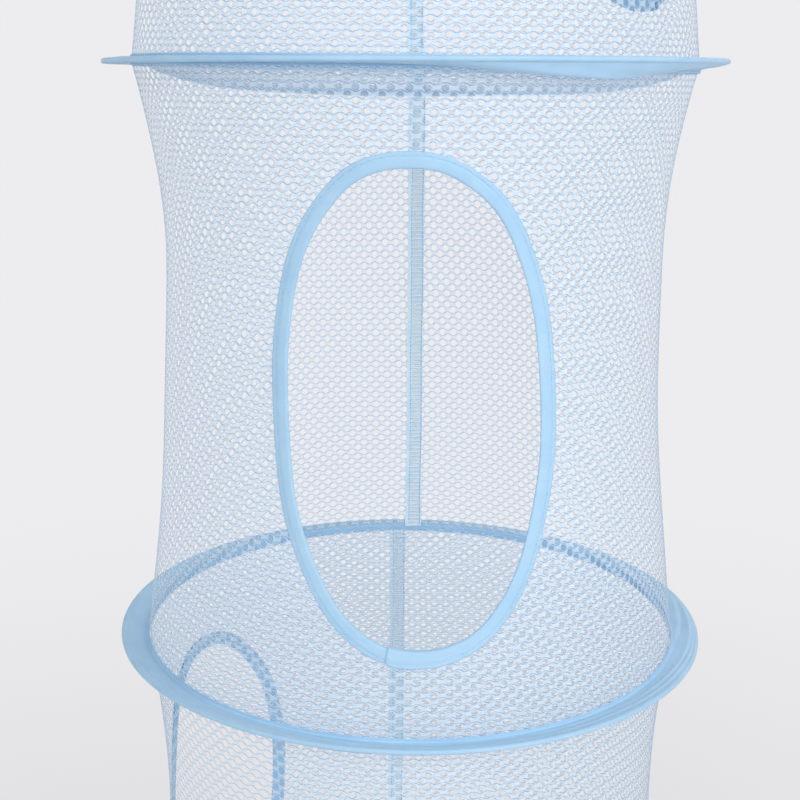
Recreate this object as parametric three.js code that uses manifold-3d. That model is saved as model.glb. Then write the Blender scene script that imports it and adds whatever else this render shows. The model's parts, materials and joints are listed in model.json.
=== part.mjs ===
// A collapsible hanging organiser: three net tiers between four sleeved steel hoops.
// Millimetres, +Z up. The origin is the inside top of the hanging ring, and -Y is the front.

import * as THREE from 'three';
import { mergeVertices } from 'three/addons/utils/BufferGeometryUtils.js';
import loadManifold from 'manifold-3d';

// Clearance between pieces that are sewn together or rest on each other
const SEAT_GAP = 0.3;

// Hoops and the cloth sleeves round them
const RING_DIAMETER = 300;
const HOOP_WIRE = 2;
const HOOP_PLAY = 0.3;
const SLEEVE_CLOTH = 0.4;
const SLEEVE_MOUTH = 6;
const SLEEVE_REACH = 14.7;
const SLEEVE_TURN = 1;

// Net tiers, with drops measured down from the hoop above
const TIER_PITCH = 285;
const WAIST_DEPTH = 13.5;
const LAST_WAIST_DEPTH = 7.5;
const WAIST_DROP = 95;
const WAIST_POWER = 1.9;
const NET_CLOTH = 0.9;

// Plain grid of openings in the walls, in place of the net's fine mesh
const MESH_COLUMNS = 12;
const MESH_ROWS = 4;
const MESH_STRAND = 18;

// Oval opening of each tier, with the drop of its middle: the cut in the net and its binding tape
const OPENING_WIDTH = 111;
const OPENING_HEIGHT = 209;
const OPENING_DROP = 147;
const OPENING_TURN = 115;
const BINDING_WIDTH = 7;
const BINDING_CLOTH = 0.6;

// Lapped seam down the back of each wall
const SEAM_WIDTH = 8.5;
const SEAM_CLOTH = 1.2;

// Net floors, sewn in between the leaves of a sleeve
const FLOOR_SAG = 15;
const FLOOR_SAG_POWER = 5;
const FLOOR_HEM = 4;
const FLOOR_GAP_PITCH = 40;
const FLOOR_STRAND = 8;
const FLOOR_MARGIN = 3;

// Hanger: a steel D-ring, a webbing tab round its bar, and two crossing straps
const DRING_WIRE = 4;
const DRING_WIDTH = 26;
const DRING_HEIGHT = 21;
const DRING_CORNER = 4;
const STRAP_WIDTH = 20;
const STRAP_CLOTH = 1.2;
const STRAP_DROP = 200;
const STRAP_APEX = 26;
const TAB_RISE = 14;
const TAB_LENGTH = 24;

// Facets
const SEGMENTS = 36;
const OVAL_STEPS = 32;
const WIRE_SIDES = 6;

const ringRadius = RING_DIAMETER / 2;
const beadRadius = HOOP_WIRE / 2 + HOOP_PLAY + SLEEVE_CLOTH;
const hoopRadius = ringRadius - beadRadius;
const wallRingRadius = ringRadius - SLEEVE_REACH;
const sleeveInner = wallRingRadius - NET_CLOTH / 2 - SLEEVE_TURN;

const TIERS = [
  { name: 'top_tier', turn: OPENING_TURN, waist: WAIST_DEPTH },
  { name: 'middle_tier', turn: 0, waist: WAIST_DEPTH },
  { name: 'bottom_tier', turn: -OPENING_TURN, waist: LAST_WAIST_DEPTH },
];
const RINGS = ['top', 'second', 'third', 'bottom'];

const tabTop = -DRING_HEIGHT - DRING_WIRE / 2;
const strapTop = tabTop - TAB_RISE - SEAT_GAP;
const ringHeight = (index) => strapTop - STRAP_DROP - index * TIER_PITCH;

const wasm = await loadManifold();
wasm.setup();

// Plain finishes
const cloth = (color) => new THREE.MeshStandardMaterial({ color, roughness: 0.75, metalness: 0 });
const steel = (color) => new THREE.MeshStandardMaterial({ color, roughness: 0.3, metalness: 1 });
const NET_BLUE = 0xcfe4f4;
const TAPE_BLUE = 0xa6d2ee;
const SEAM_BLUE = 0xa9cde9;
const STEEL = 0xb9bdc2;

function bareGeometry(geometry) {
  const bare = new THREE.BufferGeometry();
  bare.setAttribute('position', geometry.attributes.position.clone());
  if (geometry.index) bare.setIndex(geometry.index.clone());
  return mergeVertices(bare, 1e-4);
}

function toSolid(geometry) {
  const bare = bareGeometry(geometry);
  const vertProperties = new Float32Array(bare.attributes.position.array);
  const triVerts = new Uint32Array(bare.index.array);
  return new wasm.Manifold(new wasm.Mesh({ numProp: 3, vertProperties, triVerts }));
}

function fromSolid(solid) {
  const { vertProperties, triVerts } = solid.getMesh();
  const geometry = new THREE.BufferGeometry();
  geometry.setAttribute('position', new THREE.BufferAttribute(vertProperties, 3));
  geometry.setIndex(new THREE.BufferAttribute(triVerts, 1));
  return geometry;
}

// A closed profile of (radius, height) points, anticlockwise, turned about Z.
// The first facet edge lies at the front.
function revolve(profile) {
  const points = [...profile, profile[0]].map(([radius, height]) => new THREE.Vector2(radius, height));
  return new THREE.LatheGeometry(points, SEGMENTS).rotateX(Math.PI / 2);
}

// A closed section carried round a closed loop of stations.
function sweepLoop(stations, section) {
  const positions = [];
  for (const { at, across, out } of stations) {
    for (const [a, o] of section) {
      const corner = at.clone().addScaledVector(across, a).addScaledVector(out, o);
      positions.push(corner.x, corner.y, corner.z);
    }
  }
  const index = [];
  const sides = section.length;
  stations.forEach((_, i) => {
    const near = i * sides;
    const far = ((i + 1) % stations.length) * sides;
    for (let j = 0; j < sides; j += 1) {
      const k = (j + 1) % sides;
      index.push(near + j, far + j, far + k, near + j, far + k, near + k);
    }
  });
  const geometry = new THREE.BufferGeometry();
  geometry.setAttribute('position', new THREE.Float32BufferAttribute(positions, 3));
  geometry.setIndex(index);
  return geometry;
}

// The outline of a strip of cloth that follows an open line of (x, y) points.
function ribbonShape(line, thickness) {
  const points = line.map(([x, y]) => new THREE.Vector2(x, y));
  const offset = (side) => points.map((point, i) => {
    const before = points[Math.max(i - 1, 0)];
    const after = points[Math.min(i + 1, points.length - 1)];
    const into = point.clone().sub(before).normalize();
    const onward = after.clone().sub(point).normalize();
    if (i === 0) into.copy(onward);
    if (i === points.length - 1) onward.copy(into);
    const mitre = new THREE.Vector2(-into.y - onward.y, into.x + onward.x).normalize();
    const reach = thickness / 2 / (mitre.x * -onward.y + mitre.y * onward.x);
    return point.clone().addScaledVector(mitre, side * reach);
  });
  return new THREE.Shape([...offset(-1), ...offset(1).reverse()]);
}

// A shape drawn in (x, z), extruded by width and centred on the plane y = 0.
function extrudeUpright(shape, width) {
  const geometry = new THREE.ExtrudeGeometry(shape, { depth: width, bevelEnabled: false });
  return geometry.rotateX(Math.PI / 2).translate(0, width / 2, 0);
}

// Height of a sleeve's upper face above the hoop's plane
function leafTop(radius) {
  const share = (hoopRadius - radius) / (hoopRadius - sleeveInner);
  return THREE.MathUtils.lerp(beadRadius, SLEEVE_MOUTH / 2, share);
}

const wallInset = leafTop(wallRingRadius - NET_CLOTH / 2) + SEAT_GAP;

// Radius of the middle of a tier's net wall, waisted by the pull between its hoops.
// The last tier carries nothing below it, so its waist is shallower.
function wallRadius(drop, waist) {
  const reach = drop < WAIST_DROP ? WAIST_DROP - wallInset : TIER_PITCH - wallInset - WAIST_DROP;
  const share = Math.abs(drop - WAIST_DROP) / reach;
  return wallRingRadius - waist * (1 - share ** WAIST_POWER);
}

// Drops of the edges of the wall's level strands, from the top edge of the first to the bottom edge of the last
function wallDrops() {
  const tall = TIER_PITCH - 2 * wallInset;
  const strandPitch = (tall - MESH_STRAND) / MESH_ROWS;
  const tops = Array.from({ length: MESH_ROWS + 1 }, (_, row) => wallInset + row * strandPitch);
  return tops.flatMap((top) => [top, top + MESH_STRAND]);
}

function hoop() {
  return new THREE.TorusGeometry(hoopRadius, HOOP_WIRE / 2, WIRE_SIDES, SEGMENTS);
}

// Tape folded round the hoop, with two leaves that reach in to the net
function sleeve() {
  const bend = [-90, -45, 0, 45, 90].map(THREE.MathUtils.degToRad);
  const round = (radius) => bend.map((a) => [hoopRadius + radius * Math.cos(a), radius * Math.sin(a)]);
  const top = SLEEVE_MOUTH / 2;
  const outside = [[sleeveInner, -top], ...round(beadRadius), [sleeveInner, top]];
  const under = top - SLEEVE_CLOTH;
  const inside = [[sleeveInner, -under], ...round(beadRadius - SLEEVE_CLOTH), [sleeveInner, under]];
  return revolve([...outside, ...inside.reverse()]);
}

// A waisted shell of revolution that lies within half a thickness of the middle of the net
function wallShell(half, waist) {
  const drops = wallDrops();
  const outside = drops.map((drop) => [wallRadius(drop, waist) + half, -drop]).reverse();
  const inside = drops.map((drop) => [wallRadius(drop, waist) - half, -drop]);
  return toSolid(revolve([...outside, ...inside]));
}

// A prism that reaches forward from the axis through the opening, grown past the cut in the net
function openingPrism(grow) {
  const oval = new THREE.Path();
  oval.absellipse(0, -OPENING_DROP, OPENING_WIDTH / 2 + grow, OPENING_HEIGHT / 2 + grow, 0, 2 * Math.PI);
  const points = oval.getPoints(OVAL_STEPS / 2).slice(1);
  return toSolid(extrudeUpright(new THREE.Shape(points), ringRadius).translate(0, -ringRadius / 2, 0));
}

// The net as level and upright strands, one facet of each column being an upright strand
function strandShell(waist) {
  const drops = wallDrops();
  const columnFacets = SEGMENTS / MESH_COLUMNS;
  const isStrand = (row, facet) => {
    if (row < 0 || row > drops.length - 2) return false;
    return row % 2 === 0 || (facet + SEGMENTS) % columnFacets === 1;
  };
  const corner = (row, facet, side) => {
    const angle = (facet / SEGMENTS) * 2 * Math.PI;
    const radius = wallRadius(drops[row], waist) + (side * NET_CLOTH) / 2;
    return [radius * Math.sin(angle), -radius * Math.cos(angle), -drops[row]];
  };
  const positions = [];
  const addFace = (a, b, c, d) => positions.push(...a, ...b, ...c, ...a, ...c, ...d);
  for (let row = 0; row < drops.length - 1; row += 1) {
    for (let facet = 0; facet < SEGMENTS; facet += 1) {
      if (!isStrand(row, facet)) continue;
      const round = [[row, facet], [row + 1, facet], [row + 1, facet + 1], [row, facet + 1]];
      const [a, b, c, d] = round.map(([r, f]) => corner(r, f, 1));
      const [aIn, bIn, cIn, dIn] = round.map(([r, f]) => corner(r, f, -1));
      addFace(a, b, c, d);
      addFace(dIn, cIn, bIn, aIn);
      if (!isStrand(row - 1, facet)) addFace(a, d, dIn, aIn);
      if (!isStrand(row + 1, facet)) addFace(b, bIn, cIn, c);
      if (!isStrand(row, facet - 1)) addFace(a, aIn, bIn, b);
      if (!isStrand(row, facet + 1)) addFace(d, c, cIn, dIn);
    }
  }
  const geometry = new THREE.BufferGeometry();
  geometry.setAttribute('position', new THREE.Float32BufferAttribute(positions, 3));
  return toSolid(geometry);
}

// Waisted net wall with its oval opening at the front
function wall(waist) {
  return fromSolid(strandShell(waist).subtract(openingPrism(0)));
}

// Folded tape round the opening: a U section that takes in the cut edge of the net
function openingBinding(waist) {
  const slot = NET_CLOTH / 2 + SEAT_GAP;
  const fold = SEAT_GAP + BINDING_CLOTH;
  const tape = wallShell(slot + BINDING_CLOTH, waist).intersect(openingPrism(BINDING_WIDTH - fold));
  const netSpace = wallShell(slot, waist).subtract(openingPrism(-SEAT_GAP));
  return fromSolid(tape.subtract(openingPrism(-fold)).subtract(netSpace));
}

// Lapped seam along the inside of the wall at the back, clear of the wall's flat facets
function backSeam(waist) {
  const flat = Math.cos(Math.PI / SEGMENTS);
  const clear = (drop) => (wallRadius(drop, waist) - NET_CLOTH / 2) * flat - SEAT_GAP;
  const line = wallDrops().map((drop) => [clear(drop) - SEAM_CLOTH / 2, -drop]);
  return extrudeUpright(ribbonShape(line, SEAM_CLOTH), SEAM_WIDTH).rotateZ(Math.PI / 2);
}

// Centres of the floor's gaps: a honeycomb inside the hem
function floorGaps() {
  const corner = (FLOOR_GAP_PITCH - FLOOR_STRAND) / Math.sqrt(3);
  const limit = sleeveInner - FLOOR_MARGIN - corner;
  const rowPitch = FLOOR_GAP_PITCH * Math.sin(Math.PI / 3);
  const rows = Math.floor(limit / rowPitch);
  const centres = [];
  for (let row = -rows; row <= rows; row += 1) {
    const shift = row % 2 === 0 ? 0 : 0.5;
    const columns = Math.ceil(limit / FLOOR_GAP_PITCH);
    for (let column = -columns; column <= columns; column += 1) {
      const centre = new THREE.Vector2((column + shift) * FLOOR_GAP_PITCH, row * rowPitch);
      if (centre.length() <= limit) centres.push(centre);
    }
  }
  return { centres, corner };
}

function hexagon(centre, corner) {
  const spokes = Array.from({ length: 6 }, (_, i) => THREE.MathUtils.degToRad(60 * i + 30));
  return new THREE.Path(
    spokes.map((a) => new THREE.Vector2(centre.x + corner * Math.cos(a), centre.y + corner * Math.sin(a))),
  );
}

// Net floor: open mesh that sags from a turned hem held between the leaves of a sleeve
function floor() {
  const tuck = FLOOR_HEM / 2;
  const rim = Array.from({ length: SEGMENTS }, (_, i) => {
    const angle = (i / SEGMENTS) * 2 * Math.PI;
    return new THREE.Vector2(Math.sin(angle), Math.cos(angle)).multiplyScalar(sleeveInner + tuck);
  });
  const shape = new THREE.Shape(rim);
  const { centres, corner } = floorGaps();
  shape.holes = centres.map((centre) => hexagon(centre, corner));
  const net = new THREE.ExtrudeGeometry(shape, { depth: NET_CLOTH, bevelEnabled: false });
  net.translate(0, 0, -NET_CLOTH / 2);
  const place = net.attributes.position;
  for (let i = 0; i < place.count; i += 1) {
    const share = Math.hypot(place.getX(i), place.getY(i)) / sleeveInner;
    place.setZ(i, place.getZ(i) - FLOOR_SAG * Math.max(0, 1 - share ** FLOOR_SAG_POWER));
  }
  const hemHalf = (radius) => leafTop(radius) - SLEEVE_CLOTH - SEAT_GAP;
  const hemEnd = sleeveInner + FLOOR_HEM;
  const hem = revolve([
    [sleeveInner, -hemHalf(sleeveInner)], [hemEnd, -hemHalf(hemEnd)],
    [hemEnd, hemHalf(hemEnd)], [sleeveInner, hemHalf(sleeveInner)],
  ]);
  return fromSolid(toSolid(net).add(toSolid(hem)));
}

// Welded steel ring with a straight bar below and a round bow above, in the plane y = 0
function hangingRing() {
  const bow = (DRING_WIDTH + DRING_WIRE) / 2;
  const bowHeight = -DRING_WIDTH / 2;
  const path = new THREE.Path();
  path.moveTo(bow - DRING_CORNER, tabTop);
  path.absarc(bow - DRING_CORNER, tabTop + DRING_CORNER, DRING_CORNER, -Math.PI / 2, 0);
  path.absarc(0, bowHeight, bow, 0, Math.PI);
  path.absarc(-bow + DRING_CORNER, tabTop + DRING_CORNER, DRING_CORNER, Math.PI, 1.5 * Math.PI);
  const points = path.getPoints(4).filter((p, i, all) => i === 0 || p.distanceTo(all[i - 1]) > 1e-6);
  const stations = points.map((point, i) => {
    const before = points[(i + points.length - 1) % points.length];
    const after = points[(i + 1) % points.length];
    const along = after.clone().sub(before).normalize();
    const across = new THREE.Vector3(-along.y, 0, along.x);
    return { at: new THREE.Vector3(point.x, 0, point.y), across, out: new THREE.Vector3(0, 1, 0) };
  });
  const sides = Array.from({ length: 8 }, (_, i) => (i / 8) * 2 * Math.PI);
  const radius = DRING_WIRE / 2;
  return sweepLoop(stations, sides.map((a) => [radius * Math.cos(a), radius * Math.sin(a)]));
}

// Webbing tab: two feet on the crossing and a loop over the ring's bar, in the (x, z) plane
function hangTab() {
  const loop = DRING_WIRE / 2 + SEAT_GAP + STRAP_CLOTH / 2;
  const foot = -TAB_RISE + STRAP_CLOTH / 2;
  const over = Array.from({ length: 9 }, (_, i) => Math.PI * (1 - i / 8));
  const line = [
    [-TAB_LENGTH / 2, foot], [-loop, foot],
    ...over.map((a) => [loop * Math.cos(a), loop * Math.sin(a)]),
    [loop, foot], [TAB_LENGTH / 2, foot],
  ];
  return extrudeUpright(ribbonShape(line, STRAP_CLOTH), STRAP_WIDTH).rotateZ(Math.PI / 2);
}

// Flat strap over the top, with its ends on the top sleeve. The one below lies a layer lower.
function strap(layer) {
  const apex = strapTop - STRAP_CLOTH / 2 - layer * (STRAP_CLOTH + SEAT_GAP);
  const seat = (radius) => ringHeight(0) + leafTop(radius) + SEAT_GAP + STRAP_CLOTH / 2;
  const footIn = sleeveInner + SLEEVE_TURN;
  const footOut = hoopRadius - HOOP_WIRE;
  const side = [[STRAP_APEX / 2, apex], [footIn, seat(footIn)], [footOut, seat(footOut)]];
  const mirrored = side.map(([x, z]) => [-x, z]).reverse();
  return extrudeUpright(ribbonShape([...mirrored, ...side], STRAP_CLOTH), STRAP_WIDTH);
}

const organiser = new THREE.Group();

function addPiece(name, geometry, material, height = 0, turn = 0) {
  const piece = new THREE.Mesh(geometry, material);
  piece.name = name;
  piece.position.z = height;
  piece.rotation.z = THREE.MathUtils.degToRad(turn);
  organiser.add(piece);
}

addPiece('hanging_ring', hangingRing(), steel(STEEL));
addPiece('hang_tab', hangTab(), cloth(TAPE_BLUE), tabTop);
addPiece('side_strap', strap(0), cloth(TAPE_BLUE));
addPiece('front_strap', strap(1), cloth(TAPE_BLUE), 0, 90);

RINGS.forEach((ring, i) => {
  addPiece(`${ring}_hoop`, hoop(), steel(STEEL), ringHeight(i));
  addPiece(`${ring}_sleeve`, sleeve(), cloth(TAPE_BLUE), ringHeight(i));
});

TIERS.forEach(({ name, turn, waist }, i) => {
  addPiece(`${name}_wall`, wall(waist), cloth(NET_BLUE), ringHeight(i), turn);
  addPiece(`${name}_opening_binding`, openingBinding(waist), cloth(TAPE_BLUE), ringHeight(i), turn);
  addPiece(`${name}_back_seam`, backSeam(waist), cloth(SEAM_BLUE), ringHeight(i));
  addPiece(`${name}_floor`, floor(), cloth(NET_BLUE), ringHeight(i + 1));
});

export default organiser;
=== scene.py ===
import json
import math

import bpy
import numpy as np
from mathutils import Matrix, Vector


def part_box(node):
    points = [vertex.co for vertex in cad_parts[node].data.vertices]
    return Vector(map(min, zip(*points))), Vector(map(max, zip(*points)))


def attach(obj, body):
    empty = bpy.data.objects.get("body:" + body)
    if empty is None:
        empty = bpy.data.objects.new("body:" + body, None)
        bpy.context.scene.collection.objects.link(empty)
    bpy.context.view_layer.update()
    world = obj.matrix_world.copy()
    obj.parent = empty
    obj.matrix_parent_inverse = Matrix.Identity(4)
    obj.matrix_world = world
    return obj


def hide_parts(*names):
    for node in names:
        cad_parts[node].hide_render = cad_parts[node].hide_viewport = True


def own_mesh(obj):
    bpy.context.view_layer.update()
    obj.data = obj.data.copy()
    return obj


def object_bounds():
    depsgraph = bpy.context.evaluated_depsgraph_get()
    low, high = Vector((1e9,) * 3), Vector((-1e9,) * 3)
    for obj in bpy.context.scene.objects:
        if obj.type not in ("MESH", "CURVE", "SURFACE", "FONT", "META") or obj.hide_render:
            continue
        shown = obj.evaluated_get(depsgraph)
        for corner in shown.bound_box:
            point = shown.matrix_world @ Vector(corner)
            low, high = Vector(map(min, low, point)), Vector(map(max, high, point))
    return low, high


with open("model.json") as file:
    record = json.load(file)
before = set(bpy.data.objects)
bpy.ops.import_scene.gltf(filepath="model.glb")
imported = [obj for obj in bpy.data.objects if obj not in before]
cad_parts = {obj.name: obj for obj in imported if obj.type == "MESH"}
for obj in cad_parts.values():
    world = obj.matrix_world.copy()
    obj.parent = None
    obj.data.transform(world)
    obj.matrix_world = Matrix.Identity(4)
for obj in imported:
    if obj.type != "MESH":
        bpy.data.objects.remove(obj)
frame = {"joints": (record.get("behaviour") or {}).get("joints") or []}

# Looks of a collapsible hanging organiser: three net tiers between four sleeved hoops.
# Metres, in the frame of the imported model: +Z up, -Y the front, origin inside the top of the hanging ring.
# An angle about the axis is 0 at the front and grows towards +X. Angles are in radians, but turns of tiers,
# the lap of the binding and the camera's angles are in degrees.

cad_low, cad_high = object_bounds()

UP = (0, 0, 1)
RINGS = ("top", "second", "third", "bottom")
TIERS = ("top_tier", "middle_tier", "bottom_tier")
TIER_TURNS = {"top_tier": 115, "middle_tier": 0, "bottom_tier": -115}

# Hoops and sleeves
HOOP_WIRE = 0.002
BEAD_RADIUS = 0.00125
HOOP_INSET = 0.0017
SLEEVE_REACH = 0.0147
SLEEVE_TURN = 0.00145
LEAF_VALLEY = 0.0006
COLLAR_HEIGHT = 0.0025
COLLAR_GAP = 0.0006
COLLAR_BEND = 0.001
COLLAR_STITCH = 0.0018
COLLAR_EDGE = 0.00022
COLLAR_TUCK = 0.001
LEAF_SPLIT = 0.00002
HOOP_SIDES = 12
RING_STEPS = 288

# Net walls: the waist's shape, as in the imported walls, and the mesh
WAIST_DEPTHS = {"top_tier": 0.0135, "middle_tier": 0.0135, "bottom_tier": 0.0075}
WAIST_DROP = 0.095
WAIST_POWER = 1.9
NET_COLUMNS = 120
NET_ROWS = 88
WAIST_ROW_GAIN = 0.16
NET_TUCK = 0.0012
NET_DRAW = 0.0005
NET_DRAW_LENGTH = 0.02
HOLE_WIDTH = 0.47
HOLE_HEIGHT = 0.56
RIM_RELIEF = 0.0003
COLUMN_SWAY = (0.012, 0.008)
ROW_SWAY = (0.006, 0.003)
WALL_SLACK = 0.0006

# Oval openings and their binding tape
OPENING_WIDTH = 0.111
OPENING_HEIGHT = 0.209
OPENING_DROP = 0.147
OPENING_POWER = 2.3
OPENING_LEAN = 0.025
OPENING_ASIDE = 0.001
BINDING_FOLD = 0.0009
BINDING_REACH = 0.0061
BINDING_HALF = 0.001
BINDING_STEPS = 220
BINDING_STITCH_INSET = 0.0016
BINDING_GROOVE = 0.0003
BINDING_GROOVE_WIDTH = 0.0005
BINDING_PUCKER = 0.00012
BINDING_SWAY = (0.0002, 0.00015)
NET_EDGE_COVER = 0.0026

# Back seams
SEAM_WIDTH = 0.0094
SEAM_STANDOFF = 0.0012
SEAM_ROW_PITCH = 0.0012
SEAM_STITCH_LINES = (-0.004, 0.0024)
SEAM_SHIFTS = {"top_tier": 0.0, "middle_tier": -0.0015, "bottom_tier": 0.008}
RUNG_PITCH = 0.0024
RUNG_WIDTH = 0.0014
RUNG_LIFT = 0.0006
SEAM_PUFF = 0.00035
SEAM_WAVER = (0.04, 0.03)

# Net floors
FLOOR_SAG = 0.015
FLOOR_SAG_POWER = 5
FLOOR_PITCH = 0.0066
FLOOR_ROW_PITCH = 0.00305
FLOOR_EDGE_GAP = 0.0002
FLOOR_SWAY = (0.0012, 0.001)
FLOOR_SLACK = 0.0007

# Hanger
DRING_WIRE = 0.004
DRING_WIDTH = 0.026
DRING_HEIGHT = 0.021
DRING_CORNER = 0.004
DRING_SIDES = 16
DRING_STEP = 0.0009
STRAP_WIDTH = 0.02
STRAP_CLOTH = 0.0012
STRAP_APEX = 0.026
TAB_RISE = 0.014
TAB_LENGTH = 0.024
WEBBING_BEND = 0.003
WEBBING_STEP = 0.002
SEAT_GAP = 0.0003
FOOT_STITCH_ASIDE = 0.0006
FOOT_STITCH_HALF = (0.0034, 0.0075)
TAB_STITCH_PLACE = 0.0078
TAB_STITCH_HALF = (0.0029, 0.0078)

# Sewing thread
THREAD = 0.00042
STITCH_PITCH = 0.0027
STITCH_LENGTH = 0.0021

# The photo's camera, in the photo's pixels and against the second hoop
PHOTO_SIZE = 800
FOCAL_PIXELS = 1450
SENSOR_MM = 36
CAMERA_DISTANCE = 0.7223
CAMERA_BELOW_RING = 0.0056
CAMERA_PITCH = 12.69
CAMERA_YAW = 0.48
CAMERA_ROLL = 0.45


def rings_of(tier):
    """The hoops above and below a tier."""
    place = TIERS.index(tier)
    return RINGS[place], RINGS[place + 1]


def ring_height(ring):
    low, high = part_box(ring + "_sleeve")
    return (low.z + high.z) / 2


RING_Z = {ring: ring_height(ring) for ring in RINGS}
RING_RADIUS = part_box("top_sleeve")[1].x
HOOP_RADIUS = RING_RADIUS - HOOP_INSET
WALL_RADIUS = RING_RADIUS - SLEEVE_REACH
SLEEVE_INNER = WALL_RADIUS - SLEEVE_TURN
TIER_PITCH = RING_Z["top"] - RING_Z["second"]


def display(red, green, blue):
    """A colour written in display values, as the shader's linear values."""
    def linear(value):
        share = value / 255
        return share / 12.92 if share <= 0.04045 else ((share + 0.055) / 1.055) ** 2.4
    return (linear(red), linear(green), linear(blue), 1)


# Materials

def new_material(name):
    """A material with a plain shader, and its node tree."""
    material = bpy.data.materials.new(name)
    material.use_nodes = True
    tree = material.node_tree
    tree.nodes.clear()
    shader = tree.nodes.new("ShaderNodeBsdfPrincipled")
    output = tree.nodes.new("ShaderNodeOutputMaterial")
    tree.links.new(shader.outputs["BSDF"], output.inputs["Surface"])
    return material, tree, shader


def set_sockets(node, values):
    for name, value in values.items():
        node.inputs[name].default_value = value


def add_node(tree, kind, **values):
    node = tree.nodes.new(kind)
    for name, value in values.items():
        if name in node.inputs:
            node.inputs[name].default_value = value
        else:
            setattr(node, name, value)
    return node


def link(tree, source, target):
    tree.links.new(source, target)


def noise(tree, coordinates, scale, detail=2.0):
    node = add_node(tree, "ShaderNodeTexNoise", Scale=scale, Detail=detail)
    link(tree, coordinates, node.inputs["Vector"])
    return node.outputs["Fac"]


def colour_ramp(tree, factor, stops):
    node = add_node(tree, "ShaderNodeValToRGB")
    link(tree, factor, node.inputs["Fac"])
    elements = node.color_ramp.elements
    while len(elements) < len(stops):
        elements.new(0.5)
    for element, (place, colour) in zip(elements, stops):
        element.position = place
        element.color = colour
    return node.outputs["Color"]


def bands(tree, coordinates, direction, scale):
    node = add_node(tree, "ShaderNodeTexWave", Scale=scale, bands_direction=direction)
    link(tree, coordinates, node.inputs["Vector"])
    return node.outputs["Fac"]


def math_node(tree, operation, first, second):
    node = add_node(tree, "ShaderNodeMath", operation=operation)
    for socket, value in zip(node.inputs, (first, second)):
        if isinstance(value, (int, float)):
            socket.default_value = value
        else:
            link(tree, value, socket)
    return node.outputs["Value"]


def bump(tree, height, strength, distance):
    node = add_node(tree, "ShaderNodeBump", Strength=strength, Distance=distance)
    link(tree, height, node.inputs["Height"])
    return node.outputs["Normal"]


def object_coordinates(tree):
    return add_node(tree, "ShaderNodeTexCoord").outputs["Object"]


def cloth_coordinates(tree):
    """Metres along and across the cloth, kept on each point of a piece."""
    return add_node(tree, "ShaderNodeAttribute", attribute_name="cloth").outputs["Vector"]


def woven(name, light, dark, thread, relief, sheen):
    """A plain weave of fine threads with slow changes of shade."""
    material, tree, shader = new_material(name)
    cloth = cloth_coordinates(tree)
    waves = 1 / thread / 2
    warp = bands(tree, cloth, "X", waves)
    weft = bands(tree, cloth, "Y", waves)
    weave = math_node(tree, "MULTIPLY", warp, weft)
    shade = noise(tree, object_coordinates(tree), 55, 3)
    tone = colour_ramp(tree, shade, [(0.3, dark), (0.7, light)])
    link(tree, tone, shader.inputs["Base Color"])
    grain = math_node(tree, "ADD", weave, shade)
    link(tree, bump(tree, grain, 0.35, relief), shader.inputs["Normal"])
    set_sockets(shader, {"Roughness": 0.55, "Specular IOR Level": 0.35})
    set_sockets(shader, {"Sheen Weight": sheen, "Sheen Roughness": 0.4})
    return material


def net_material():
    """Sheer pale knit, with wavy lines of painted shade in the grooves where its threads run together."""
    material, tree, shader = new_material("net")
    # Painted shade: the line attribute darkens the strands from their pale colour to a deep blue in the
    # grooves between threads.
    line = add_node(tree, "ShaderNodeAttribute", attribute_name="line").outputs["Fac"]
    fibre = noise(tree, object_coordinates(tree), 900, 2)
    depth = math_node(tree, "MULTIPLY_ADD", fibre, 0.3)
    link(tree, line, depth.node.inputs[2])
    tone = colour_ramp(tree, depth, [(0.45, NET_LIGHT), (0.85, NET_PAINTED_HALF_SHADE), (1.0, NET_PAINTED_SHADE)])
    link(tree, tone, shader.inputs["Base Color"])
    link(tree, bump(tree, fibre, 0.3, 0.0002), shader.inputs["Normal"])
    set_sockets(shader, {"Alpha": NET_COVER, "Roughness": 0.5})
    set_sockets(shader, {"Specular IOR Level": 0.35, "Sheen Weight": 0.15})
    return material


def thread_material(name, light, dark):
    """Twisted sewing thread."""
    material, tree, shader = new_material(name)
    twist = noise(tree, object_coordinates(tree), 1800, 1)
    tone = colour_ramp(tree, twist, [(0.3, dark), (0.7, light)])
    link(tree, tone, shader.inputs["Base Color"])
    link(tree, bump(tree, twist, 0.4, 0.0001), shader.inputs["Normal"])
    shader.inputs["Roughness"].default_value = 0.45
    return material


def steel_material(name, tone, roughness):
    """Plated wire with faint drawing marks."""
    material, tree, shader = new_material(name)
    marks = noise(tree, object_coordinates(tree), 350, 4)
    colour = colour_ramp(tree, marks, [(0.35, tone), (0.75, (1, 1, 1, 1))])
    mixed = add_node(tree, "ShaderNodeMix", data_type="RGBA", blend_type="MULTIPLY")
    set_sockets(mixed, {"Factor": 0.25, "A": tone})
    link(tree, colour, mixed.inputs["B"])
    link(tree, mixed.outputs["Result"], shader.inputs["Base Color"])
    rough = math_node(tree, "MULTIPLY_ADD", marks, 0.2)
    rough.node.inputs[2].default_value = roughness
    link(tree, rough, shader.inputs["Roughness"])
    link(tree, bump(tree, marks, 0.1, 0.0001), shader.inputs["Normal"])
    shader.inputs["Metallic"].default_value = 1
    return material


# The net's pale strands, then a half step and the full deep blue of the painted shade in the grooves between
# its threads.
NET_LIGHT = display(222, 240, 254)
NET_PAINTED_HALF_SHADE = display(196, 224, 249)
NET_PAINTED_SHADE = display(84, 148, 212)
NET_COVER = 0.5
TAPE_LIGHT = display(178, 215, 242)
TAPE_DARK = display(167, 207, 238)
SEAM_LIGHT = display(234, 249, 255)
SEAM_DARK = display(214, 240, 255)
PALE_THREAD = display(250, 254, 255)
SOFT_THREAD = display(226, 238, 250)
CHAIN_LIGHT = display(164, 211, 246)
CHAIN_DARK = display(128, 190, 240)
STEEL_TONE = display(205, 207, 211)

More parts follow.
